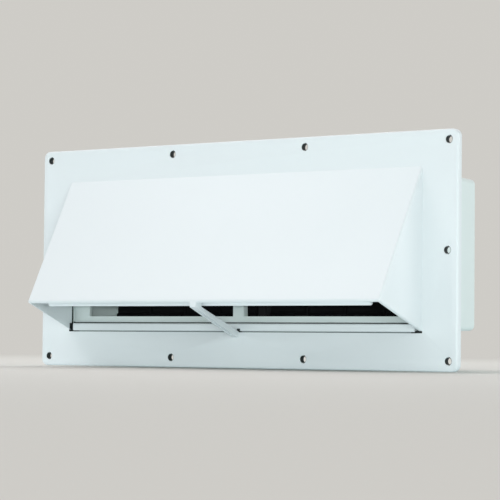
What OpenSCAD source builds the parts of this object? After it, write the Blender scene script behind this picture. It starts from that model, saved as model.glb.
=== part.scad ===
// Exterior wall vent cover for a range hood duct.
// A moulded plate with a sloped rain hood, a duct collar set in from behind,
// and two dampers that hang from one rod and swing outwards in the exhaust air.
// X runs to the right, Y runs into the wall, Z is up.
// The origin is the centre of the corner screw holes, in the plane of the wall.

/* [Plate] */
// Width of the plate
plate_w = 356; // [340:1:400]
// Height of the plate
plate_h = 160; // [154:1:200]
// Radius of the plate's corners
plate_corner_r = 5; // [4:0.5:7]
// Depth of the plate, from its front face to the wall
plate_depth = 5; // [4.6:0.1:8]
// Thickness of the plate's face
plate_wall = 2.4; // [2:0.1:3]
// Thickness of the rim that turns back to the wall
rim_wall = 2.2; // [1.8:0.1:3]
// Rounding of the plate's front edge
plate_edge_r = 1.2; // [0.6:0.1:1.6]

/* [Screw holes] */
// Diameter of the screw holes
screw_hole_d = 5; // [4:0.1:5.5]
// Diameter of the boss behind each screw hole
screw_boss_d = 10; // [9:0.5:11]
// Corner hole's distance from the plate's side
screw_inset_x = 7; // [6.5:0.1:8]
// Top and bottom holes' distance from the plate's edge
screw_inset_z = 7; // [6.5:0.1:8]
// Middle side hole's distance from the plate's side
side_screw_inset = 8; // [7:0.1:9]
// Countersink's diameter at the plate's front
screw_sink_d = 6; // [5.6:0.1:7]

/* [Hood] */
// Width of the hood where it leaves the plate
hood_w = 303; // [300:1:310]
// Taper of each side of the hood from the plate to the lip
hood_taper = 2.3; // [0:0.1:5]
// Height of the hood's top edge above the centre
hood_top = 56; // [52:1:60]
// Depth of the hood's side walls below the centre
hood_foot = 54; // [52:0.5:58]
// Distance of the lip below the centre
lip_drop = 35; // [28:1:40]
// How far the lip stands out from the plate's face
lip_reach = 51; // [46:1:60]
// Thickness of the hood's walls
hood_wall = 2; // [1.6:0.1:3]
// Rounding of the hood's outer edges
hood_edge_r = 1.5; // [1:0.1:2]
// Diameter of the bead along the lip
lip_bead_d = 3.4; // [2.6:0.1:4]

/* [Lip return] */
// Depth of the shelf behind the lip
return_depth = 12; // [10:0.5:18]
// Distance from the shelf's end to the end of the lip
return_end_gap = 12; // [6:0.1:14]
// Thickness of the shelf and of its turned edge
return_wall = 1.8; // [1.4:0.1:2.2]
// Height of the turned edge
return_edge_h = 4; // [3:0.1:6]

/* [Strut] */
// Width of the strut from the lip to the plate
strut_w = 5; // [4:0.2:8]
// Height of the strut at the lip
strut_t = 2.8; // [2.4:0.1:4]
// Height of the strut at the plate
strut_foot_t = 4.6; // [3:0.1:5.4]
// Length of the strut's root below the lip
strut_root_l = 7; // [4:0.5:10]
// Width of the groove along the strut
strut_groove_w = 2; // [1:0.1:2.6]
// Depth of that groove
strut_groove_t = 1; // [0.5:0.1:1.4]

/* [Sill] */
// Height of the sill below the duct opening
sill_h = 5.4; // [4:0.1:6]
// How far the sill stands out from the plate's face
sill_proud = 1.6; // [1:0.1:2.4]
// Gap between the sill's end and the hood's side wall
sill_end_gap = 3; // [1.4:0.1:3.4]
// Height of the groove along the sill's foot
sill_groove_h = 0.8; // [0.6:0.1:1.2]
// Depth of that groove in the plate's face
sill_groove_t = 1; // [0.6:0.1:1.4]
// Length of the drain notches at the feet of the walls and the strut
notch_w = 9; // [6:0.5:12]
// Height of the drain notches
notch_h = 1.5; // [1:0.1:1.6]
// Distance from the strut's middle to the middle of the notch beside it
strut_notch_shift = 0.7; // [0:0.1:2]

/* [Collar] */
// Outside width of the duct collar at the wall
collar_w = 281.4; // [276:0.2:286]
// Outside height of the duct collar at the wall
collar_h = 111.8; // [108:0.2:114]
// Height of the collar's middle above the centre
collar_rise = 1; // [0:0.5:2]
// Length of the collar behind the wall's plane
collar_length = 91; // [60:1:120]
// Taper of each side of the collar over its length
collar_draft = 2.7; // [1.5:0.1:3.5]
// Thickness of the collar's walls
collar_wall = 2.5; // [2:0.1:3]
// Radius of the collar's corners
collar_corner_r = 4; // [3:0.5:6]
// Length of the lead-in at the collar's back end
collar_lead = 1; // [0.5:0.5:1.5]
// Width of the flange past the hood at each side
flange_side = 9.5; // [8.5:0.5:11]
// Height of the flange past the collar at top and bottom
flange_rise = 6; // [5:0.5:7]

/* [Stakes] */
// Diameter of the stakes that hold the collar to the cover
stake_d = 4; // [3:0.5:5]
// Diameter of a stake's flattened head
stake_head_d = 6; // [5:0.5:7]
// Thickness of that head
stake_head_t = 1; // [0.6:0.1:1.4]
// Clearance round a stake and its head
stake_play = 0.1; // [0.05:0.05:0.2]
// Distance from the hood's side to a stake
stake_out = 5; // [4.5:0.5:6]
// Height of the stakes above and below the centre
stake_z = 36; // [20:1:45]

/* [Windows] */
// Depth of the window frame behind the flange's front face
frame_recess = 1.2; // [0.8:0.1:1.6]
// Width of the shadow gap round the hood's opening
frame_gap = 1.5; // [1:0.1:2]
// Width of the groove round the window frame's face
frame_groove_w = 0.8; // [0.5:0.1:1.2]
// Depth of that groove
frame_groove_t = 0.7; // [0.4:0.1:0.8]
// Thickness of the window frame inside the collar
frame_wall = 2.5; // [2:0.1:3]
// Width of the frame's sides inside the collar
window_side_lap = 3.2; // [2.5:0.1:5]
// Height of the frame's bottom inside the collar
window_bottom_lap = 8.8; // [7:0.1:10]
// Height of the frame's top inside the collar
window_top_lap = 8.4; // [7:0.1:10]
// Width of the bar between the windows
mullion_w = 9; // [7:0.5:12]
// Depth of that bar behind the frame's front face
mullion_t = 5; // [4:0.5:7]

/* [Dampers] */
// Distance from the wall's plane to the dampers' front face
damper_y = 30; // [27:0.5:34]
// Thickness of a damper
damper_t = 2; // [1.6:0.1:2.6]
// Gap between a damper and the sides of its window
damper_side_gap = 1.7; // [1.2:0.1:2.5]
// How far the dampers hang below the bottom of the windows
damper_bottom_lap = 0.4; // [0:0.1:1]
// Height of the stiffening ribs on a damper
damper_rib_h = 1.4; // [1:0.1:2]
// Width of those ribs
damper_rib_w = 1.6; // [1.2:0.1:2.4]
// Number of upright ribs on a damper
damper_ribs = 3; // [2:1:5]
// Length of each hinge barrel
barrel_l = 22; // [16:1:30]
// Outside diameter of the hinge barrels
barrel_d = 6.4; // [6:0.1:7]

/* [Rod and seals] */
// Diameter of the hinge rod
rod_d = 3; // [2.5:0.1:3.4]
// Clearance between the rod and the holes that it turns in, on the radius
rod_play = 0.05; // [0.02:0.01:0.1]
// How far the rod stands out at each side of the collar
rod_end = 4; // [3:0.5:6]
// Distance of the rod's axis below the collar's ceiling
rod_drop = 4.9; // [4.5:0.1:5.5]
// Outside diameter of the caps on the rod's ends
cap_d = 9; // [8:0.5:11]
// Length of those caps
cap_l = 2.4; // [2:0.1:2.8]
// Thickness of the foam seals
seal_t = 1.2; // [1:0.1:2]
// Width of the foam strips
seal_w = 2.6; // [2:0.1:3]
// Gap between the foam and a closed damper
seal_gap = 0.3; // [0.2:0.05:0.4]
// Distance from a damper's edge to the foam's edge
seal_edge = 0.6; // [0.3:0.1:1]
// Gap between the two strips at the middle
seal_mid_gap = 0.4; // [0.2:0.1:1]
// Thickness of the seat that carries the foam
seat_t = 2.5; // [2:0.1:3]
// How far the seat reaches behind a damper's edge
seat_lap = 3.6; // [3.2:0.1:4.2]

/* [Hidden] */

round_fn = 48;
hull_fn = 28;
through = 1;

front_y = -plate_depth;
back_of_face_y = front_y + plate_wall;
lip_y = front_y - lip_reach;
lip_z = -lip_drop;

corner_x = plate_w / 2 - screw_inset_x;
edge_screw_x = corner_x / 3;
screw_z = plate_h / 2 - screw_inset_z;
side_screw_x = plate_w / 2 - side_screw_inset;

lip_w = hood_w - 2 * hood_taper;
slope_run = lip_reach;
slope_rise = hood_top + lip_drop;
slope_len = sqrt(slope_run * slope_run + slope_rise * slope_rise);
slope_ny = -slope_rise / slope_len;
slope_nz = slope_run / slope_len;

mouth_rise = hood_foot - lip_drop;
opening_bottom = sill_h - hood_foot;
opening_x = hood_w / 2 - hood_wall;

flange_y = back_of_face_y;
frame_y = flange_y + frame_recess;
frame_back_y = frame_y + frame_wall;
window_x = collar_w / 2 - collar_wall - window_side_lap;
window_bottom = collar_h / 2 - collar_rise - collar_wall - window_bottom_lap;
window_top = collar_h / 2 + collar_rise - collar_wall - window_top_lap;
damper_in_x = mullion_w / 2 + damper_side_gap;
damper_out_x = window_x - damper_side_gap;
damper_w = damper_out_x - damper_in_x;
damper_back_y = damper_y + damper_t;
seal_y = damper_back_y + seal_gap;
seat_y = seal_y + seal_t;
rod_y = seat_y;
rod_z = collar_rise + collar_half_h(rod_y) - collar_wall - rod_drop;
rod_half = collar_w / 2 + rod_end;
damper_top = rod_z - barrel_d / 2 - 0.4;
lug_bottom = damper_top - 4;
damper_bottom = window_bottom + damper_bottom_lap;
stake_x = hood_w / 2 + stake_out;

// Half of the collar's outside width and height at a distance behind the wall's plane
function collar_half_w(y) = collar_w / 2 - collar_draft * y / collar_length;
function collar_half_h(y) = collar_h / 2 - collar_draft * y / collar_length;
// Half of the hood's outside width at a distance in front of the plate's face
function hood_half_w(out) = hood_w / 2 - (hood_w - lip_w) / 2 * out / lip_reach;
// A point in the hood's sloped wall, below its outer face and along the slope
function slope_point(inset, along) = [
    front_y - inset * slope_ny + along * slope_run / slope_len,
    hood_top - inset * slope_nz + along * slope_rise / slope_len
];

// Middle of a round edge of radius r that lies on the sloped face and ends at the lip's height
function lip_point(r) = slope_point(r, (r * (1 + slope_nz)) * slope_len / slope_rise - slope_len);

// Flat shape with rounded corners, made of true arcs
module rounded_rect(w, h, r) {
    square([w - 2 * r, h], center = true);
    square([w, h - 2 * r], center = true);
    for (sx = [-1, 1], sz = [-1, 1])
        translate([sx * (w / 2 - r), sz * (h / 2 - r)])
            circle(r = r, $fn = round_fn);
}

// Upright slab with rounded corners, from y0 to y1
module upright_slab(w, h, r, y0, y1) {
    translate([0, y1, 0])
        rotate([90, 0, 0])
            linear_extrude(height = y1 - y0)
                rounded_rect(w, h, r);
}

// Block between two corner points
module block(low, high) {
    translate(low)
        cube(high - low);
}

// Round bar along Y at a place on the plate
module y_bar(x, z, d, y0, y1) {
    translate([x, y1, z])
        rotate([90, 0, 0])
            cylinder(d = d, h = y1 - y0, $fn = round_fn);
}

// Round bar along X
module x_bar(y, z, d, x0, x1) {
    translate([x0, y, z])
        rotate([0, 90, 0])
            cylinder(d = d, h = x1 - x0, $fn = round_fn);
}

// Side profile in Y and Z, drawn out along X from x0 to x1
module side_profile(points, x0, x1) {
    translate([x0, 0, 0])
        rotate([90, 0, 90])
            linear_extrude(height = x1 - x0)
                polygon(points);
}

// Runs its children at every screw hole of the plate
module at_screws() {
    for (x = [-corner_x, -edge_screw_x, edge_screw_x, corner_x], z = [-screw_z, screw_z])
        translate([x, 0, z])
            children();
    for (x = [-side_screw_x, side_screw_x])
        translate([x, 0, 0])
            children();
}

module at_stakes() {
    for (x = [-stake_x, stake_x], z = [-stake_z, stake_z])
        translate([x, 0, z])
            children();
}

// Solid slab of the plate, with a rounded front edge
module plate_slab() {
    r = plate_edge_r;
    hull() {
        upright_slab(plate_w, plate_h, plate_corner_r, front_y + r, 0);
        for (step = [1 : 4]) {
            a = 90 * step / 4;
            in = r * (1 - cos(a));
            upright_slab(plate_w - 2 * in, plate_h - 2 * in, plate_corner_r - in,
                         front_y + r * (1 - sin(a)), front_y + r);
        }
    }
}

// Space behind the plate's face, inside its rim
module plate_recess() {
    upright_slab(plate_w - 2 * rim_wall, plate_h - 2 * rim_wall,
                 plate_corner_r - rim_wall, back_of_face_y, through);
}

// Solid wedge with the hood's outer faces and rounded edges
module hood_wedge() {
    r = hood_edge_r;
    top = slope_point(r, 2 * r);
    lip = lip_point(r);
    hull()
        for (side = [-1, 1]) {
            translate([side * (hood_w / 2 - r), top[0], top[1]])
                sphere(r = r, $fn = hull_fn);
            translate([side * (lip_w / 2 - r), lip[0], lip[1]])
                sphere(r = r, $fn = hull_fn);
            translate([side * (hood_w / 2 - r), front_y + r, -hood_foot + r])
                sphere(r = r, $fn = hull_fn);
        }
}

// Space inside the hood, open at the mouth and through the plate
module hood_space() {
    inner_top = slope_point(hood_wall, -slope_len);
    back_y = back_of_face_y + through;
    out_y = lip_y - through;
    in_back = hood_half_w(front_y - back_y) - hood_wall;
    in_front = hood_half_w(front_y - out_y) - hood_wall;
    y_step = hood_wall / -slope_ny;
    intersection() {
        side_profile([
            [inner_top[0], inner_top[1]],
            [inner_top[0], lip_z - mouth_rise],
            [front_y - 0.01, lip_z - mouth_rise - through],
            [front_y - 0.01, opening_bottom],
            [back_y, opening_bottom],
            [back_y, hood_top - 2 * through],
            [front_y + y_step - 2 * through * slope_run / slope_rise, hood_top - 2 * through]
        ], -hood_w / 2, hood_w / 2);
        translate([0, 0, -plate_h / 2])
            linear_extrude(height = plate_h)
                polygon([
                    [-in_back, back_y], [in_back, back_y],
                    [in_front, out_y], [-in_front, out_y]
                ]);
    }
}

// Bead along the lip, with round ends inside the side walls
module lip_bead() {
    bead = lip_point(lip_bead_d / 2);
    x_end = lip_w / 2 - hood_wall / 2;
    x_bar(bead[0], bead[1], lip_bead_d, -x_end, x_end);
}

// Shelf behind the lip with its edge turned down
module lip_return() {
    half = lip_w / 2 - return_end_gap;
    back_y = lip_y + return_depth;
    edge_r = 1.6;
    low = lip_z - return_edge_h / 2;
    block([-half, lip_y + lip_bead_d / 2, lip_z], [half, back_y, lip_z + return_wall]);
    translate([0, back_y, low + return_edge_h / 2])
        rotate([90, 0, 0])
            linear_extrude(height = return_wall)
                rounded_rect(2 * half, return_edge_h, edge_r);
}

// Grooved bar from a root under the middle of the lip down to the plate
module strut() {
    start_y = lip_y + plate_edge_r / 2;
    root_y = start_y + strut_root_l;
    end_y = front_y + plate_wall / 2;
    drop = mouth_rise / lip_reach;
    foot_y = front_y - notch_w / 2;
    function mouth_z(y) = lip_z - (y - lip_y) * drop;
    function low_z(y) = mouth_z(y) - strut_t
        - (strut_foot_t - strut_t) * (y - start_y) / (end_y - start_y);
    difference() {
        side_profile([
            [start_y, lip_z + return_wall / 2], [start_y, low_z(start_y)],
            [end_y, low_z(end_y)], [end_y, mouth_z(end_y)],
            [root_y, mouth_z(root_y)], [root_y, lip_z + return_wall / 2]
        ], -strut_w / 2, strut_w / 2);
        side_profile([
            [root_y, low_z(root_y) - through], [foot_y, low_z(foot_y) - through],
            [foot_y, low_z(foot_y) + strut_groove_t], [root_y, low_z(root_y) + strut_groove_t]
        ], -strut_groove_w / 2, strut_groove_w / 2);
    }
}

// Low ridge below the duct opening
module sill() {
    half = opening_x - sill_end_gap;
    nose = 0.6;
    side_profile([
        [front_y + plate_wall / 2, opening_bottom],
        [front_y + plate_wall / 2, -hood_foot],
        [front_y - sill_proud + nose, -hood_foot],
        [front_y - sill_proud, -hood_foot + nose],
        [front_y - sill_proud, opening_bottom - nose],
        [front_y - sill_proud + nose, opening_bottom]
    ], -half, half);
}

// Drain notches at the feet of the side walls and of the strut, and slots at the sill's ends
module notches() {
    outer = hood_w / 2;
    z0 = -hood_foot - notch_h / 2;
    for (x = [-outer, strut_notch_shift - notch_w / 2, outer - notch_w])
        block([x, front_y - through, z0],
              [x + notch_w, back_of_face_y + through, z0 + notch_h]);
    for (x = [-opening_x, opening_x - sill_end_gap])
        block([x, front_y - 2 * through, z0],
              [x + sill_end_gap, back_of_face_y + through, opening_bottom + through]);
}

// Fine groove in the plate along the sill's foot
module sill_groove() {
    half = opening_x - sill_end_gap;
    block([-half, front_y - through, -hood_foot - sill_groove_h],
          [half, front_y + sill_groove_t, -hood_foot]);
}

module cover() color([0.93, 0.95, 0.97]) {
    difference() {
        union() {
            difference() {
                union() {
                    plate_slab();
                    hood_wedge();
                }
                plate_recess();
                hood_space();
            }
            at_screws()
                y_bar(0, 0, screw_boss_d, back_of_face_y - plate_wall / 2, 0);
            at_stakes() {
                y_bar(0, 0, stake_d, back_of_face_y - plate_wall / 2, 0);
                y_bar(0, 0, stake_head_d, -stake_head_t, 0);
            }
            sill();
        }
        at_screws() {
            y_bar(0, 0, screw_hole_d, front_y - through, through);
            translate([0, front_y, 0])
                rotate([-90, 0, 0])
                    cylinder(d1 = screw_sink_d, d2 = screw_hole_d,
                             h = (screw_sink_d - screw_hole_d) / 2, $fn = round_fn);
        }
        notches();
        sill_groove();
    }
    lip_bead();
    lip_return();
    strut();
}

// Tapered box with the collar's corners from y0 to y1, with its last edge drawn in by the lead-in
module collar_tube(inset, y0, y1, lead = 0) {
    skin = 0.01;
    hull()
        for (at = [[y0 + skin, inset], [y1 - lead, inset], [y1, inset + lead]]) {
            w = 2 * (collar_half_w(at[0]) - at[1]);
            h = 2 * (collar_half_h(at[0]) - at[1]);
            translate([0, 0, collar_rise])
                upright_slab(w, h, collar_corner_r - at[1] / 2, at[0] - skin, at[0]);
        }
}

module duct_collar() color([0.86, 0.90, 0.90]) {
    flange_w = hood_w + 2 * flange_side;
    flange_h = collar_h + 2 * flange_rise;
    seat_back = seat_y + seat_t;
    in_w = collar_half_w(seat_back) - collar_wall;
    in_h = collar_half_h(seat_back) - collar_wall;
    floor_z = collar_rise - in_h;
    ceiling_z = collar_rise + in_h;
    lap_x = damper_out_x - seat_lap;
    mid_x = damper_in_x + seat_lap;
    lug_x = mullion_w / 2 - 0.5;
    difference() {
        union() {
            // Front frame and flange
            translate([0, 0, collar_rise])
                upright_slab(flange_w, flange_h, collar_corner_r, flange_y, 0);
            collar_tube(0, 0, collar_length, collar_lead);
        }
        // Inside of the collar behind the frame
        collar_tube(collar_wall, frame_back_y, collar_length + through);
        // Shallow pocket for the window frame, a little wider than the hood's opening
        block([-opening_x - frame_gap, flange_y - through, opening_bottom - frame_gap],
              [opening_x + frame_gap, frame_y, hood_top - frame_gap]);
        // Groove round the frame's face, along the hood's walls and the sill
        difference() {
            block([-opening_x - frame_gap, flange_y - through, opening_bottom - frame_gap],
                  [opening_x + frame_gap, frame_y + frame_groove_t, hood_top - frame_gap]);
            block([-opening_x + frame_groove_w, flange_y - 2 * through,
                   opening_bottom + frame_groove_w],
                  [opening_x - frame_groove_w, frame_back_y, hood_top]);
        }
        // Two windows
        for (side = [-1, 1])
            block([min(side * mullion_w / 2, side * window_x), flange_y - through, -window_bottom],
                  [max(side * mullion_w / 2, side * window_x), frame_back_y + through, window_top]);
        // Stake holes, widened behind for the stakes' heads
        at_stakes() {
            y_bar(0, 0, stake_d + 2 * stake_play, flange_y - through, through);
            y_bar(0, 0, stake_head_d + 2 * stake_play, -stake_head_t - stake_play, through);
        }
        // Holes for the rod's ends
        x_bar(rod_y, rod_z, rod_d, -collar_w, collar_w);
    }
    // Bar between the windows
    block([-mullion_w / 2, frame_y, -window_bottom - 2],
          [mullion_w / 2, frame_y + mullion_t, window_top + 2]);
    // Seat behind the dampers: sides, bottom and middle
    for (side = [-1, 1])
        block([min(side * lap_x, side * (in_w + 1)), seat_y, floor_z],
              [max(side * lap_x, side * (in_w + 1)), seat_back, damper_top - 2]);
    block([-in_w, seat_y, floor_z - 1], [in_w, seat_back, -damper_bottom + seat_lap]);
    block([-mid_x, seat_y, floor_z], [mid_x, seat_back, damper_top - 2]);
    // Middle lug for the rod
    difference() {
        block([-lug_x, rod_y - barrel_d / 2 - 1, lug_bottom],
              [lug_x, rod_y + barrel_d / 2 + 1, ceiling_z + 1]);
        x_bar(rod_y, rod_z, rod_d, -collar_w, collar_w);
    }
}

// Damper of one window, with the inner edge at the left in its own frame
module damper(side) {
    x0 = side > 0 ? damper_in_x : -damper_out_x;
    x1 = x0 + damper_w;
    pitch = damper_w / (damper_ribs + 1);
    bead_d = damper_t + damper_rib_h;
    difference() {
        union() {
            block([x0, damper_y, -damper_bottom], [x1, damper_back_y, damper_top]);
            // Upright ribs on the front
            for (i = [1 : damper_ribs])
                block([x0 + i * pitch - damper_rib_w / 2, damper_y - damper_rib_h, -damper_bottom + 2],
                      [x0 + i * pitch + damper_rib_w / 2, damper_y + damper_t / 2, damper_top - 6]);
            // Rolled bottom edge
            x_bar(damper_back_y - bead_d / 2, -damper_bottom + bead_d / 2, bead_d, x0, x1);
            // Hinge barrels, each on a short arm
            for (x = [x0 + 1, x1 - barrel_l - 1]) {
                x_bar(rod_y, rod_z, barrel_d, x, x + barrel_l);
                block([x, damper_y, damper_top - 6], [x + barrel_l, damper_back_y, rod_z]);
            }
        }
        x_bar(rod_y, rod_z, rod_d + 2 * rod_play, x0 - through, x1 + through);
    }
}

module damper_left() color([0.05, 0.05, 0.055]) damper(-1);
module damper_right() color([0.05, 0.05, 0.055]) damper(1);

module hinge_rod() color([0.68, 0.69, 0.70])
    x_bar(rod_y, rod_z, rod_d, -rod_half, rod_half);

// Push-on caps outside the collar's walls
module rod_caps() color([0.55, 0.56, 0.58]) {
    wall_x = collar_half_w(rod_y - cap_d / 2) + 0.1;
    for (side = [-1, 1])
        difference() {
            union() {
                x_bar(rod_y, rod_z, cap_d, min(side * wall_x, side * (wall_x + cap_l / 2)),
                      max(side * wall_x, side * (wall_x + cap_l / 2)));
                x_bar(rod_y, rod_z, (cap_d + rod_d) / 2, min(side * wall_x, side * (wall_x + cap_l)),
                      max(side * wall_x, side * (wall_x + cap_l)));
            }
            x_bar(rod_y, rod_z, rod_d, -collar_w, collar_w);
        }
}

// Foam strip on the seat along the sides and the bottom of one damper, wide at the middle seat
module seal(side) {
    inner = side > 0 ? seal_mid_gap / 2 : -damper_out_x + seal_edge;
    outer = side > 0 ? damper_out_x - seal_edge : -seal_mid_gap / 2;
    left_w = side > 0 ? damper_in_x + seal_edge + seal_w - inner : seal_w;
    right_w = side > 0 ? seal_w : outer + damper_in_x + seal_edge + seal_w;
    foot = -damper_bottom + seal_edge;
    head = lug_bottom - seal_gap;
    difference() {
        block([inner, seal_y, foot], [outer, seat_y, head]);
        block([inner + left_w, seal_y - through, foot + seal_w],
              [outer - right_w, seat_y + through, head + through]);
    }
}

module seal_left() color([0.16, 0.16, 0.17]) seal(-1);
module seal_right() color([0.16, 0.16, 0.17]) seal(1);

cover();
duct_collar();
damper_left();
damper_right();
hinge_rod();
rod_caps();
seal_left();
seal_right();
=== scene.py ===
# %% [markdown]
# The object is an exterior wall vent cover for a range hood duct: a white moulded plate with a
# sloped rain hood, a box-shaped duct collar behind it, and two black dampers that hang inside.
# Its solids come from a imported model, in metres, so the first step is to load them. Everything
# that is made afterwards shares their frame, and nothing has to be fitted by eye.

# %% Load the frame
import math

import bpy
from mathutils import Matrix, Vector


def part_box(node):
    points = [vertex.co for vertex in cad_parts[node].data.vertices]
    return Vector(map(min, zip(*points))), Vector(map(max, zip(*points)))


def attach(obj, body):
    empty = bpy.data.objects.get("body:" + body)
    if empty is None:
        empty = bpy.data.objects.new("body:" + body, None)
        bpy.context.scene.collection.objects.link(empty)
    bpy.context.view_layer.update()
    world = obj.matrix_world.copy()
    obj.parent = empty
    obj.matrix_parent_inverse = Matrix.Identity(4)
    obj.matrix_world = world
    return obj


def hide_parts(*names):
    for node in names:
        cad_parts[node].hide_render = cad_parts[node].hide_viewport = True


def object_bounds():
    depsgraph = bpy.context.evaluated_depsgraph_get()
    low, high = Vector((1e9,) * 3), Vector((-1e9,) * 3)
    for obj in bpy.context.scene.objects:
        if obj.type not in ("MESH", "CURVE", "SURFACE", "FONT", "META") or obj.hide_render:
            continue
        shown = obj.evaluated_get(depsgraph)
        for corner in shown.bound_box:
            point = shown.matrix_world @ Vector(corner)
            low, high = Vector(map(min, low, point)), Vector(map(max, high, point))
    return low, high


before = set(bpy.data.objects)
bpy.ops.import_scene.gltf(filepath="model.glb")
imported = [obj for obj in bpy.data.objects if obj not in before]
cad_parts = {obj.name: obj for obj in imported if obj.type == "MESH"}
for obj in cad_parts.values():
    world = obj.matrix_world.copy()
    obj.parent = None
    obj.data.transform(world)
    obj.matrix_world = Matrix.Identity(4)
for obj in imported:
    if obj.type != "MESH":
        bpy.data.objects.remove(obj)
cad_bounds = [list(corner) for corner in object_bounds()]
MM = 0.001

# %% [markdown]
# The camera comes first, because it decides what shows. The plate's slanting top and bottom
# edges, its ten screw holes and the hood's corners fix the camera in the picture: it stands
# about a metre and a half away, to the right and a little below the middle, and a long lens
# keeps the slants mild. Three turns in a row, yaw, pitch and roll, are easier to read than a
# matrix.

# %% Camera
CAMERA_PLACE = Vector((0.8552, -1.2051, -0.0615))
CAMERA_YAW = 35.09
CAMERA_PITCH = 2.51
CAMERA_ROLL = 0.51
LENS_MM = 151.1


def turn(degrees, axis):
    return Matrix.Rotation(math.radians(degrees), 4, axis)


camera_data = bpy.data.cameras.new("camera")
camera_data.lens = LENS_MM
camera_data.sensor_width = 36
camera_data.clip_end = 30
camera = bpy.data.objects.new("camera", camera_data)
bpy.context.collection.objects.link(camera)
camera.matrix_world = (
    Matrix.Translation(CAMERA_PLACE)
    @ turn(CAMERA_YAW, "Z")
    @ turn(90 + CAMERA_PITCH, "X")
    @ turn(CAMERA_ROLL, "Z")
)
bpy.context.scene.camera = camera

# %% [markdown]
# A few helpers keep the modelling short. An edit operator acts on all that is selected, and the
# loaded nodes are selected, so each piece starts from nothing selected. A finished piece keeps
# its place in its mesh, with its object at the origin, as the loaded nodes do.

# %% Modelling helpers
MERGE_DISTANCE = 0.004 * MM
FLAT_DEGREES = 0.5


def select_only(obj):
    if bpy.context.object and bpy.context.object.mode != "OBJECT":
        bpy.ops.object.mode_set(mode="OBJECT")
    bpy.ops.object.select_all(action="DESELECT")
    obj.select_set(True)
    bpy.context.view_layer.objects.active = obj


def settle(obj):
    """Moves an object's place, turn and size into its mesh."""
    select_only(obj)
    bpy.ops.object.transform_apply(location=True, rotation=True, scale=True)
    return obj


def apply_modifiers(obj):
    select_only(obj)
    for modifier in list(obj.modifiers):
        bpy.ops.object.modifier_apply(modifier=modifier.name)
    return obj


def smooth(obj, degrees=35):
    select_only(obj)
    bpy.ops.object.shade_smooth_by_angle(angle=math.radians(degrees))
    return obj


def bevel(obj, width, segments=3, degrees=25):
    """Rounds every edge that is sharper than a given angle."""
    modifier = obj.modifiers.new("edges", "BEVEL")
    modifier.width = width
    modifier.segments = segments
    modifier.limit_method = "ANGLE"
    modifier.angle_limit = math.radians(degrees)
    modifier.use_clamp_overlap = True
    return apply_modifiers(obj)


def softened_copy(node, name, width, segments=3):
    """A copy of a loaded node with its triangles joined to faces and its edges rounded."""
    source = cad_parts[node]
    mesh = source.data.copy()
    mesh.materials.clear()
    piece = bpy.data.objects.new(name, mesh)
    bpy.context.collection.objects.link(piece)
    piece.matrix_world = source.matrix_world
    settle(piece)
    bpy.ops.object.mode_set(mode="EDIT")
    bpy.ops.mesh.select_all(action="SELECT")
    bpy.ops.mesh.remove_doubles(threshold=MERGE_DISTANCE)
    bpy.ops.mesh.dissolve_limited(angle_limit=math.radians(FLAT_DEGREES), delimit=set())
    bpy.ops.object.mode_set(mode="OBJECT")
    bevel(piece, width, segments)
    smooth(piece)
    print(name, "has", len(piece.data.polygons), "faces")
    return piece


# %% [markdown]
# The whole vent is moulded plastic, so one finish serves with different values. Moulded plastic
# isn't flat: its tone drifts a little over the part, the gloss changes from place to place, the
# skin has a very fine grain and the walls are slightly wavy where they cooled. A shader group
# makes all of that from Object coordinates, and each material keeps its own Principled BSDF. The
# noise scales are per metre, so 14 gives patches of about 7 cm.

# %% Moulded skin group
TONE_SCALE = 14
PATCH_SCALE = 45
GRAIN_HEIGHT = 0.1 * MM
WAVE_HEIGHT = 1.5 * MM


def link(tree, source, target):
    tree.links.new(source, target)


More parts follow.
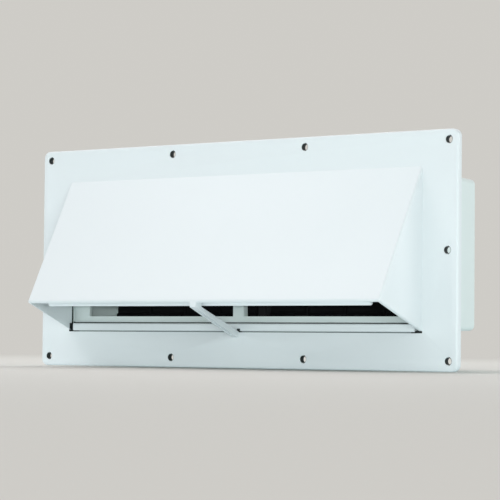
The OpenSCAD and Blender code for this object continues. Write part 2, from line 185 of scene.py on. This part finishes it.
def make_moulded_group():
    group = bpy.data.node_groups.new("moulded_skin", "ShaderNodeTree")
    sockets = group.interface
    for name, kind, value in (
        ("Colour", "NodeSocketColor", (0.8, 0.8, 0.8, 1)),
        ("Drift colour", "NodeSocketColor", (0.8, 0.8, 0.8, 1)),
        ("Roughness", "NodeSocketFloat", 0.4),
        ("Roughness drift", "NodeSocketFloat", 0.08),
        ("Grain size mm", "NodeSocketFloat", 0.6),
        ("Grain depth", "NodeSocketFloat", 0.05),
        ("Wave depth", "NodeSocketFloat", 0.05),
    ):
        sockets.new_socket(name=name, in_out="INPUT", socket_type=kind).default_value = value
    sockets.new_socket(name="Colour", in_out="OUTPUT", socket_type="NodeSocketColor")
    sockets.new_socket(name="Roughness", in_out="OUTPUT", socket_type="NodeSocketFloat")
    sockets.new_socket(name="Normal", in_out="OUTPUT", socket_type="NodeSocketVector")

    add = group.nodes.new
    inputs = add("NodeGroupInput")
    outputs = add("NodeGroupOutput")
    coords = add("ShaderNodeTexCoord")

    drift = add("ShaderNodeTexNoise")
    drift.inputs["Scale"].default_value = TONE_SCALE
    drift.inputs["Detail"].default_value = 3
    link(group, coords.outputs["Object"], drift.inputs["Vector"])
    tone = add("ShaderNodeMix")
    tone.data_type = "RGBA"
    link(group, drift.outputs["Fac"], tone.inputs["Factor"])
    link(group, inputs.outputs["Colour"], tone.inputs["A"])
    link(group, inputs.outputs["Drift colour"], tone.inputs["B"])
    link(group, tone.outputs["Result"], outputs.inputs["Colour"])

    patch = add("ShaderNodeTexNoise")
    patch.inputs["Scale"].default_value = PATCH_SCALE
    patch.inputs["Detail"].default_value = 4
    link(group, coords.outputs["Object"], patch.inputs["Vector"])
    centred = add("ShaderNodeMath")
    centred.operation = "SUBTRACT"
    centred.inputs[1].default_value = 0.5
    link(group, patch.outputs["Fac"], centred.inputs[0])
    change = add("ShaderNodeMath")
    change.operation = "MULTIPLY_ADD"
    link(group, centred.outputs[0], change.inputs[0])
    link(group, inputs.outputs["Roughness drift"], change.inputs[1])
    link(group, inputs.outputs["Roughness"], change.inputs[2])
    link(group, change.outputs[0], outputs.inputs["Roughness"])

    per_metre = add("ShaderNodeMath")
    per_metre.operation = "DIVIDE"
    per_metre.inputs[0].default_value = 1 / MM
    link(group, inputs.outputs["Grain size mm"], per_metre.inputs[1])
    grain = add("ShaderNodeTexNoise")
    grain.inputs["Detail"].default_value = 2
    link(group, coords.outputs["Object"], grain.inputs["Vector"])
    link(group, per_metre.outputs[0], grain.inputs["Scale"])
    grain_bump = add("ShaderNodeBump")
    grain_bump.inputs["Distance"].default_value = GRAIN_HEIGHT
    link(group, inputs.outputs["Grain depth"], grain_bump.inputs["Strength"])
    link(group, grain.outputs["Fac"], grain_bump.inputs["Height"])
    wave_bump = add("ShaderNodeBump")
    wave_bump.inputs["Distance"].default_value = WAVE_HEIGHT
    link(group, inputs.outputs["Wave depth"], wave_bump.inputs["Strength"])
    link(group, patch.outputs["Fac"], wave_bump.inputs["Height"])
    link(group, grain_bump.outputs["Normal"], wave_bump.inputs["Normal"])
    link(group, wave_bump.outputs["Normal"], outputs.inputs["Normal"])
    return group


moulded_group = make_moulded_group()


def moulded_plastic(name, colour, drift_colour, roughness, grain_mm, grain, wave, specular=0.5):
    material = bpy.data.materials.new(name)
    material.use_nodes = True
    tree = material.node_tree
    shader = tree.nodes["Principled BSDF"]
    skin = tree.nodes.new("ShaderNodeGroup")
    skin.node_tree = moulded_group
    skin.inputs["Colour"].default_value = (*colour, 1)
    skin.inputs["Drift colour"].default_value = (*drift_colour, 1)
    skin.inputs["Roughness"].default_value = roughness
    skin.inputs["Grain size mm"].default_value = grain_mm
    skin.inputs["Grain depth"].default_value = grain
    skin.inputs["Wave depth"].default_value = wave
    shader.inputs["Specular IOR Level"].default_value = specular
    link(tree, skin.outputs["Colour"], shader.inputs["Base Color"])
    link(tree, skin.outputs["Roughness"], shader.inputs["Roughness"])
    link(tree, skin.outputs["Normal"], shader.inputs["Normal"])
    return material


# %% Materials
white_plastic = moulded_plastic(
    "white_plastic", (0.82, 0.85, 0.87), (0.80, 0.835, 0.855), 0.36, 0.7, 0.10, 0.03
)
# The collar's tone, a little darker and greener than the cover's, is painted shade for the shade it
# sits in behind the plate. Its rougher gloss and coarser grain are the collar's own.
collar_plastic = moulded_plastic(
    "collar_plastic", (0.78, 0.84, 0.83), (0.76, 0.82, 0.81), 0.5, 0.9, 0.2, 0.04
)
black_plastic = moulded_plastic(
    "black_plastic", (0.004, 0.004, 0.005), (0.007, 0.007, 0.008), 0.68, 0.8, 0.3, 0.04, 0.15
)
black_foam = moulded_plastic(
    "black_foam", (0.018, 0.018, 0.02), (0.03, 0.03, 0.032), 0.95, 0.5, 0.9, 0.1, 0.1
)

# %% [markdown]
# The rod is drawn and the washers are pressed, so their marks run along X. A noise that is
# stretched that way changes the tone and the roughness together.

# %% Brushed metal
BRUSH_SCALE = (30, 2500, 2500)
ROUGHNESS_SPREAD = 0.08
DARK_MARK = 0.8


def brushed_metal(name, colour, roughness):
    material = bpy.data.materials.new(name)
    material.use_nodes = True
    tree = material.node_tree
    shader = tree.nodes["Principled BSDF"]
    shader.inputs["Metallic"].default_value = 1
    coords = tree.nodes.new("ShaderNodeTexCoord")
    stretch = tree.nodes.new("ShaderNodeMapping")
    stretch.inputs["Scale"].default_value = BRUSH_SCALE
    marks = tree.nodes.new("ShaderNodeTexNoise")
    marks.inputs["Scale"].default_value = 1
    marks.inputs["Detail"].default_value = 3
    shade = tree.nodes.new("ShaderNodeMapRange")
    shade.inputs["To Min"].default_value = roughness - ROUGHNESS_SPREAD
    shade.inputs["To Max"].default_value = roughness + ROUGHNESS_SPREAD
    tone = tree.nodes.new("ShaderNodeMix")
    tone.data_type = "RGBA"
    tone.inputs["A"].default_value = (*colour, 1)
    tone.inputs["B"].default_value = (*[DARK_MARK * c for c in colour], 1)
    link(tree, coords.outputs["Object"], stretch.inputs["Vector"])
    link(tree, stretch.outputs["Vector"], marks.inputs["Vector"])
    link(tree, marks.outputs["Fac"], shade.inputs["Value"])
    link(tree, shade.outputs["Result"], shader.inputs["Roughness"])
    link(tree, marks.outputs["Fac"], tone.inputs["Factor"])
    link(tree, tone.outputs["Result"], shader.inputs["Base Color"])
    return material


rod_steel = brushed_metal("rod_steel", (0.62, 0.63, 0.64), 0.3)
cap_steel = brushed_metal("cap_steel", (0.42, 0.43, 0.45), 0.4)

# %% [markdown]
# The loaded solids have the right shape, but their edges are perfectly sharp, and no moulding
# has sharp edges: each catches a thin line of light. A copy of each solid has its triangles
# joined to whole faces, and a Bevel modifier then rounds every real edge by a fraction of a
# millimetre. It rounds inner corners too, which is just what a moulding needs.

# %% Cover, collar and dampers with rounded edges
EDGE = 0.45 * MM
THIN_EDGE = 0.3 * MM
FOAM_EDGE = 0.25 * MM


def dress(node, name, material, body, width=EDGE, segments=3):
    piece = softened_copy(node, name, width, segments)
    piece.data.materials.append(material)
    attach(piece, body)
    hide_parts(node)
    return piece


cover = dress("cover", "cover_moulding", white_plastic, "frame")
collar = dress("duct_collar", "collar_moulding", collar_plastic, "frame")
for side in ("left", "right"):
    dress("damper_" + side, "damper_moulding_" + side, black_plastic,
          side + "_damper", THIN_EDGE)
    dress("seal_" + side, "foam_strip_" + side, black_foam, "frame", FOAM_EDGE)
dress("hinge_rod", "rod_turned", rod_steel, "frame", THIN_EDGE)

# %% [markdown]
# Beside the strut's foot the drain notch opens through the sill's front edge, where the
# photograph shows a black spot. It is cut out of the cover's copy with a small block.

# %% Mouth of the drain notch
NOTCH_MOUTH_LOW = Vector((2.55, -7.0, -55.0)) * MM
NOTCH_MOUTH_HIGH = Vector((5.2, -5.9, -52.2)) * MM


def cut_block(piece, low, high):
    """Cuts a block out of a piece with a Boolean modifier."""
    bpy.ops.object.select_all(action="DESELECT")
    bpy.ops.mesh.primitive_cube_add(size=1)
    block = bpy.context.object
    block.location = (low + high) / 2
    block.scale = high - low
    settle(block)
    cut = piece.modifiers.new("cut", "BOOLEAN")
    cut.operation = "DIFFERENCE"
    cut.solver = "EXACT"
    cut.object = block
    apply_modifiers(piece)
    bpy.data.objects.remove(block)


cut_block(cover, NOTCH_MOUTH_LOW, NOTCH_MOUTH_HIGH)
print(cover.name, "has", len(cover.data.polygons), "faces after the cut")

# %% [markdown]
# The ten screw holes, the drain slots and the grooves are narrow, so on the real vent they show as
# dark marks. Light that finds its way into them through a two millimetre wall would make them
# pale here, so their walls get painted shade: a dark tone of the same plastic, and the fine groove
# along the sill's foot, which is shallow, a middle tone. The collar's flange gets the painted shade
# too, because it lies against the plate's back and only shows through the slots. So does the strip
# of the hood's inner walls next to the window frame. All these faces are picked by their place.
# Three kinds of them run on past the dark part, up the opening, along the hood's inner walls and
# round the window frame, so they are first cut with the bisect operator.

# %% Painted shade in the screw holes, slots and grooves
FRONT_Y = -5 * MM
BACK_OF_FACE_Y = -2.6 * MM
HOLE_CORNER_X = 171 * MM
HOLE_SIDE_X = 170 * MM
HOLE_Z = 73 * MM
HOLE_REACH = 2.95 * MM
WALL_STEEPEST = 0.5
EDGE_STEEPEST = 0.92
OPENING_X = 149.5 * MM
SLOT_IN_X = 146.4 * MM
SLOT_HEAD_Z = -48.6 * MM
NOTCH_TOP_Z = -53.2 * MM
NOTCH_FOOT_Z = -54.8 * MM
GROOVE_HEAD_Z = -47.5 * MM
GROOVE_FRONT_Y = -1.2 * MM
GROOVE_BACK_Y = -0.6 * MM
SHADE_FRONT_Y = -4.4 * MM
SILL_FOOT_Z = -54 * MM
SILL_GROOVE_HEIGHT = 0.8 * MM
SILL_GROOVE_DEPTH = 1.0 * MM
SLOT_OUT_X = OPENING_X + 0.2 * MM
SLOT_FRONT_Y = FRONT_Y - 0.4 * MM
SLOT_BACK_Y = BACK_OF_FACE_Y + 0.2 * MM
NOTCH_FRONT_Y = FRONT_Y + 0.25 * MM
NEAR = 0.3 * MM
SLACK = 0.05 * MM
MOUTH_SLACK = 0.02 * MM
FACING = 0.9
LEANS_LEFT = -0.2


def cut_across(piece, place, normal, picked):
    """Cuts the picked faces of a piece along a plane."""
    select_only(piece)
    bpy.ops.object.mode_set(mode="EDIT")
    bpy.ops.mesh.select_mode(type="FACE")
    bpy.ops.mesh.select_all(action="DESELECT")
    bpy.ops.object.mode_set(mode="OBJECT")
    for face in piece.data.polygons:
        face.select = picked(face)
    bpy.ops.object.mode_set(mode="EDIT")
    bpy.ops.mesh.bisect(plane_co=place, plane_no=normal)
    bpy.ops.object.mode_set(mode="OBJECT")


def darken(piece, material, picked):
    """Gives the picked faces of a piece another material."""
    piece.data.materials.append(material)
    count = 0
    for face in piece.data.polygons:
        if picked(face):
            face.material_index = len(piece.data.materials) - 1
            count += 1
    print(piece.name, "has", count, "dark faces")


def corners(piece, face):
    return [piece.data.vertices[i].co for i in face.vertices]


def screw_places():
    places = [(x, z) for x in (-HOLE_CORNER_X, -HOLE_CORNER_X / 3, HOLE_CORNER_X / 3, HOLE_CORNER_X)
              for z in (-HOLE_Z, HOLE_Z)]
    return places + [(-HOLE_SIDE_X, 0), (HOLE_SIDE_X, 0)]


def opening_side(face):
    """The narrow faces between the plate's front and back beside the hood's opening."""
    centre = face.center
    return (abs(abs(centre.x) - OPENING_X) < NEAR and abs(face.normal.x) > FACING
            and FRONT_Y - NEAR < centre.y < BACK_OF_FACE_Y + NEAR)


def inner_wall(face):
    """The inner faces of the hood's side walls, which run back to the plate's back."""
    return (face.normal.x * face.center.x < 0 and abs(face.normal.x) > FACING
            and OPENING_X - 10 * NEAR < abs(face.center.x) < OPENING_X + NEAR
            and face.center.z > SLOT_HEAD_Z
            and max(p.y for p in corners(cover, face)) > BACK_OF_FACE_Y - 2 * SLACK)


def beside_frame(face):
    """The strip of the inner walls next to the window frame, which gets painted shade."""
    return inner_wall(face) and face.center.y > SHADE_FRONT_Y


def in_notch_mouth(face):
    """The faces that the block left when it cut the notch's mouth."""
    return all(low - MOUTH_SLACK < value < high + MOUTH_SLACK for p in corners(cover, face)
               for low, value, high in zip(NOTCH_MOUTH_LOW, p, NOTCH_MOUTH_HIGH))


def in_screw_hole(face):
    """A hole's wall and its rounded edge on the right, which closes the dark ring: painted shade.
    """
    centre = face.center
    steepest = EDGE_STEEPEST if face.normal.x < LEANS_LEFT else WALL_STEEPEST
    return (abs(face.normal.y) < steepest
            and any(math.hypot(centre.x - x, centre.z - z) < HOLE_REACH
                    for x, z in screw_places()))


def in_hole_or_slot(face):
    """All faces of the cover with painted shade: slots have dark sides, the rest of the opening
    not.
    """
    centre = face.center
    if beside_frame(face) or in_notch_mouth(face) or in_screw_hole(face):
        return True
    if abs(face.normal.y) > WALL_STEEPEST:
        return False
    if not SLOT_FRONT_Y < centre.y < SLOT_BACK_Y:
        return False
    in_notch = NOTCH_FOOT_Z < centre.z < NOTCH_TOP_Z and centre.y > NOTCH_FRONT_Y
    left_of_sill = -SLOT_OUT_X < centre.x < -SLOT_IN_X and NOTCH_FOOT_Z < centre.z < SLOT_HEAD_Z
    return in_notch or left_of_sill


def in_sill_groove(face):
    """The fine groove in the plate along the sill's foot, which gets a middle tone of painted
    shade.
    """
    return all(FRONT_Y - SLACK < p.y < FRONT_Y + SILL_GROOVE_DEPTH + SLACK
               and SILL_FOOT_Z - SILL_GROOVE_HEIGHT - SLACK < p.z < SILL_FOOT_Z + SLACK
               for p in corners(cover, face))


def in_frame_groove(face):
    """The floor of the groove in the collar's face, round the window frame."""
    return all(GROOVE_FRONT_Y < p.y < GROOVE_BACK_Y for p in corners(collar, face))


def along_sill_or_behind_plate(face):
    """The groove's part along the sill, and the flange's face behind the plate: both get painted
    shade.
    """
    below_head = all(p.z < GROOVE_HEAD_Z + SLACK for p in corners(collar, face))
    behind_plate = face.normal.y < -FACING and abs(face.center.y - BACK_OF_FACE_Y) < 2 * SLACK
    return in_frame_groove(face) and below_head or behind_plate


# Painted shade: a dark tone of the white plastic for the hole walls, the slots, the flange and the
# strip beside the frame, and a middle tone for the shallow groove along the sill's foot.
painted_shade_plastic = moulded_plastic(
    "painted_shade_plastic", (0.020, 0.026, 0.026), (0.03, 0.036, 0.036), 0.6, 0.7, 0.10, 0.03, 0.3
)
shaded_plastic = moulded_plastic(
    "shaded_plastic", (0.22, 0.25, 0.25), (0.24, 0.27, 0.27), 0.6, 0.7, 0.10, 0.03, 0.3
)
cut_across(cover, (0, 0, SLOT_HEAD_Z), (0, 0, 1), opening_side)
cut_across(cover, (0, SHADE_FRONT_Y, 0), (0, 1, 0), inner_wall)
cut_across(collar, (0, 0, GROOVE_HEAD_Z), (0, 0, 1), in_frame_groove)
darken(cover, painted_shade_plastic, in_hole_or_slot)
darken(cover, shaded_plastic, in_sill_groove)
darken(collar, painted_shade_plastic, along_sill_or_behind_plate)

# %% [markdown]
# A spring washer is pushed over each end of the rod and keeps it in the collar. It is stamped
# from thin sheet: a flat rim, a raised dish, and six teeth that bite into the rod. An open ring
# of edges is extruded inwards step by step, each step a smaller radius and a new height. It has
# no faces yet, so edges are what is selected. Six narrow gaps are then deleted out of the two
# inner bands, and Solidify gives the sheet its thickness. The second washer is a turned copy with
# its own mesh.

# %% Spring washers
WASHER_RADIUS_MM = 4.5
WASHER_STEPS_MM = [(3.5, 0.0), (3.25, 0.35), (2.5, 1.0), (1.58, 2.05)]
WASHER_SHEET = 0.35 * MM
WASHER_EDGE = 0.06 * MM
TOOTH_COUNT = 6
SEGMENTS_PER_TOOTH = 8
WASHER_LENGTH = WASHER_STEPS_MM[-1][1] * MM + WASHER_SHEET


def stamped_washer(name):
    segments = TOOTH_COUNT * SEGMENTS_PER_TOOTH
    bpy.ops.object.select_all(action="DESELECT")
    bpy.ops.mesh.primitive_circle_add(vertices=segments, radius=WASHER_RADIUS_MM * MM)
    washer = bpy.context.object
    washer.name = name
    bpy.ops.object.mode_set(mode="EDIT")
    bpy.ops.mesh.select_mode(type="EDGE")
    bpy.ops.mesh.select_all(action="SELECT")
    radius, height = WASHER_RADIUS_MM, 0.0
    for next_radius, next_height in WASHER_STEPS_MM:
        scale = next_radius / radius
        bpy.ops.mesh.extrude_region_move()
        bpy.ops.transform.resize(value=(scale, scale, 1), center_override=(0, 0, 0))
        bpy.ops.transform.translate(value=(0, 0, (next_height - height) * MM))
        radius, height = next_radius, next_height
    bpy.ops.mesh.select_mode(type="FACE")
    bpy.ops.mesh.select_all(action="DESELECT")
    bpy.ops.object.mode_set(mode="OBJECT")
    tooth_band = WASHER_STEPS_MM[1][0] * MM
    for face in washer.data.polygons:
        turn_part = math.atan2(face.center.y, face.center.x) / math.tau * segments
        face.select = (math.hypot(face.center.x, face.center.y) < tooth_band
                       and math.floor(turn_part) % SEGMENTS_PER_TOOTH == 0)
    bpy.ops.object.mode_set(mode="EDIT")
    bpy.ops.mesh.delete(type="FACE")
    bpy.ops.mesh.select_all(action="SELECT")
    bpy.ops.mesh.normals_make_consistent(inside=False)
    bpy.ops.object.mode_set(mode="OBJECT")
    sheet = washer.modifiers.new("sheet", "SOLIDIFY")
    sheet.thickness = WASHER_SHEET
    sheet.offset = 0
    apply_modifiers(washer)
    return bevel(washer, WASHER_EDGE, 2)


def washer_on_rod(washer, side):
    """Turns a washer's axis along X and sets its rim on the collar's side wall."""
    low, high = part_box("rod_caps")
    edge_x = high[0] if side > 0 else low[0]
    washer.rotation_euler = (0, side * math.pi / 2, 0)
    washer.location = (edge_x - side * (WASHER_LENGTH - WASHER_SHEET / 2),
                       (low[1] + high[1]) / 2, (low[2] + high[2]) / 2)
    settle(washer)
    smooth(washer, 30)
    washer.data.materials.append(cap_steel)
    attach(washer, "frame")
    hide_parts("rod_caps")
    print(washer.name, "has", len(washer.data.polygons), "faces")


left_washer = stamped_washer("spring_washer_left")
right_washer = left_washer.copy()
right_washer.data = left_washer.data.copy()
right_washer.name = "spring_washer_right"
bpy.context.collection.objects.link(right_washer)
washer_on_rod(left_washer, -1)
washer_on_rod(right_washer, 1)

# %% [markdown]
# The stage is a pale sheet that rises behind the object without a corner, as in a product
# studio. The vent stands on its plate's bottom edge, just off the sheet, so it keeps a soft
# shadow. The sheet starts as a plane, and its far edge is extruded in small steps round the bend
# and then straight up.

# %% Stage
FLOOR_GAP = 0.5 * MM
FLOOR_Z = cad_bounds[0][2] - FLOOR_GAP
SWEEP_FRONT = -3.0
SWEEP_BEND = 1.6
SWEEP_RADIUS = 0.8
SWEEP_STEPS = 16
SWEEP_TOP = 3.0
SWEEP_HALF_WIDTH = 5.0

bpy.ops.object.select_all(action="DESELECT")
bpy.ops.mesh.primitive_plane_add(size=1)
sweep = bpy.context.object
sweep.name = "paper_sweep"
sweep.location = (0, (SWEEP_FRONT + SWEEP_BEND) / 2, FLOOR_Z)
sweep.scale = (2 * SWEEP_HALF_WIDTH, SWEEP_BEND - SWEEP_FRONT, 1)
settle(sweep)
bpy.ops.object.mode_set(mode="EDIT")
bpy.ops.mesh.select_mode(type="EDGE")
bpy.ops.mesh.select_all(action="DESELECT")
bpy.ops.object.mode_set(mode="OBJECT")
for edge in sweep.data.edges:
    edge.select = all(sweep.data.vertices[i].co.y > 0 for i in edge.vertices)
profile = [(SWEEP_BEND, 0.0)]
for step in range(1, SWEEP_STEPS + 1):
    angle = math.radians(90 * step / SWEEP_STEPS)
    profile.append((SWEEP_BEND + SWEEP_RADIUS * math.sin(angle),
                    SWEEP_RADIUS * (1 - math.cos(angle))))
profile.append((SWEEP_BEND + SWEEP_RADIUS, SWEEP_TOP))
bpy.ops.object.mode_set(mode="EDIT")
for (y, z), (next_y, next_z) in zip(profile, profile[1:]):
    bpy.ops.mesh.extrude_region_move()
    bpy.ops.transform.translate(value=(0, next_y - y, next_z - z))
bpy.ops.object.mode_set(mode="OBJECT")
smooth(sweep, 60)

# %% [markdown]
# The sheet is a warm pale tone to the camera, which sets off the cool white plastic, and a
# slightly cool one to all other rays, so that the light it throws back keeps the plastic cool
# from below. From about a third of a metre outwards it glows more and more towards the camera, so
# that it stays as pale as the floor round the object, wherever it is seen from.

# %% Paper
PAPER_SEEN = (0.79, 0.772, 0.73)
PAPER_GLOW = (0.62, 0.606, 0.573)
PAPER_BOUNCE = (0.82, 0.92, 0.92)
GLOW_START = 0.3
GLOW_FULL = 1.5


def seen_or_mirrored(tree):
    """A Light Path node, and a value of 1 for what the camera sees directly or in a mirror."""
    rays = tree.nodes.new("ShaderNodeLightPath")
    either = tree.nodes.new("ShaderNodeMath")
    either.operation = "MAXIMUM"
    link(tree, rays.outputs["Is Camera Ray"], either.inputs[0])
    link(tree, rays.outputs["Is Glossy Ray"], either.inputs[1])
    return rays, either.outputs[0]


paper = bpy.data.materials.new("paper")
paper.use_nodes = True
paper_tree = paper.node_tree
paper_shader = paper_tree.nodes["Principled BSDF"]
paper_shader.inputs["Roughness"].default_value = 0.9
paper_shader.inputs["Specular IOR Level"].default_value = 0.2
rays, seen = seen_or_mirrored(paper_tree)
tint = paper_tree.nodes.new("ShaderNodeMix")
tint.data_type = "RGBA"
tint.inputs["A"].default_value = (*PAPER_BOUNCE, 1)
tint.inputs["B"].default_value = (*PAPER_SEEN, 1)
link(paper_tree, rays.outputs["Is Camera Ray"], tint.inputs["Factor"])
link(paper_tree, tint.outputs["Result"], paper_shader.inputs["Base Color"])
place = paper_tree.nodes.new("ShaderNodeTexCoord")
distance = paper_tree.nodes.new("ShaderNodeVectorMath")
distance.operation = "LENGTH"
link(paper_tree, place.outputs["Object"], distance.inputs[0])
fade = paper_tree.nodes.new("ShaderNodeMapRange")
fade.interpolation_type = "SMOOTHSTEP"
fade.inputs["From Min"].default_value = GLOW_START
fade.inputs["From Max"].default_value = GLOW_FULL
link(paper_tree, distance.outputs["Value"], fade.inputs["Value"])
glow_part = paper_tree.nodes.new("ShaderNodeMath")
glow_part.operation = "MULTIPLY"
link(paper_tree, seen, glow_part.inputs[0])
link(paper_tree, fade.outputs["Result"], glow_part.inputs[1])
glow = paper_tree.nodes.new("ShaderNodeEmission")
glow.inputs["Color"].default_value = (*PAPER_GLOW, 1)
blend = paper_tree.nodes.new("ShaderNodeMixShader")
link(paper_tree, glow_part.outputs[0], blend.inputs["Fac"])
link(paper_tree, paper_shader.outputs["BSDF"], blend.inputs[1])
link(paper_tree, glow.outputs["Emission"], blend.inputs[2])
link(paper_tree, blend.outputs["Shader"], paper_tree.nodes["Material Output"].inputs["Surface"])
sweep.data.materials.append(paper)

# %% [markdown]
# The light is soft and comes from all round. A pale world gives part of it, and the camera and
# glossy faces see the paper's tone in its place. A large lamp overhead makes the sloped wall the
# brightest face. A long low strip in front, hardly above the floor, shines in under the hood,
# where no light from above can reach, and keeps the rails, the sill and the strut pale. A second
# one on the left evens out the plate, and two lamps behind give the collar and the back of the
# plate their light. The lamps themselves are hidden from the camera.

# %% Light
world = bpy.data.worlds.new("studio")
world.use_nodes = True
bpy.context.scene.world = world
world_tree = world.node_tree
sky = world_tree.nodes["Background"]
sky.inputs["Color"].default_value = (0.96, 0.965, 0.985, 1)
sky.inputs["Strength"].default_value = 0.5
backdrop = world_tree.nodes.new("ShaderNodeBackground")
backdrop.inputs["Color"].default_value = (*PAPER_GLOW, 1)
_, world_seen = seen_or_mirrored(world_tree)
world_mix = world_tree.nodes.new("ShaderNodeMixShader")
link(world_tree, world_seen, world_mix.inputs["Fac"])
link(world_tree, sky.outputs["Background"], world_mix.inputs[1])
link(world_tree, backdrop.outputs["Background"], world_mix.inputs[2])
link(world_tree, world_mix.outputs["Shader"], world_tree.nodes["World Output"].inputs["Surface"])


def soft_lamp(name, place, target, size, power, colour=(1, 1, 1)):
    data = bpy.data.lights.new(name, "AREA")
    data.shape = "RECTANGLE"
    data.size, data.size_y = size
    data.energy = power
    data.color = colour
    lamp = bpy.data.objects.new(name, data)
    bpy.context.collection.objects.link(lamp)
    lamp.visible_camera = False
    lamp.location = place
    lamp.rotation_euler = (Vector(target) - Vector(place)).to_track_quat("-Z", "Y").to_euler()


soft_lamp("overhead", (-1.4, -0.5, 2.0), (0, 0, 0), (1.4, 1.0), 17.6, (1, 0.96, 0.965))
soft_lamp("low_front", (1.45, -1.65, -0.04), (0, 0, -0.04), (1.8, 0.075), 18.5, (0.88, 1, 0.98))
soft_lamp("low_left", (-0.8, -2.0, 0.12), (0, 0, -0.04), (1.6, 0.35), 4, (0.92, 1, 1))
soft_lamp("right_behind", (1.9, 0.9, 0.4), (0, 0, 0), (1.0, 0.8), 7)
soft_lamp("behind", (-0.5, 1.2, 1.4), (0, 0, 0), (1.0, 0.8), 7)

bpy.context.scene.view_settings.view_transform = "Standard"
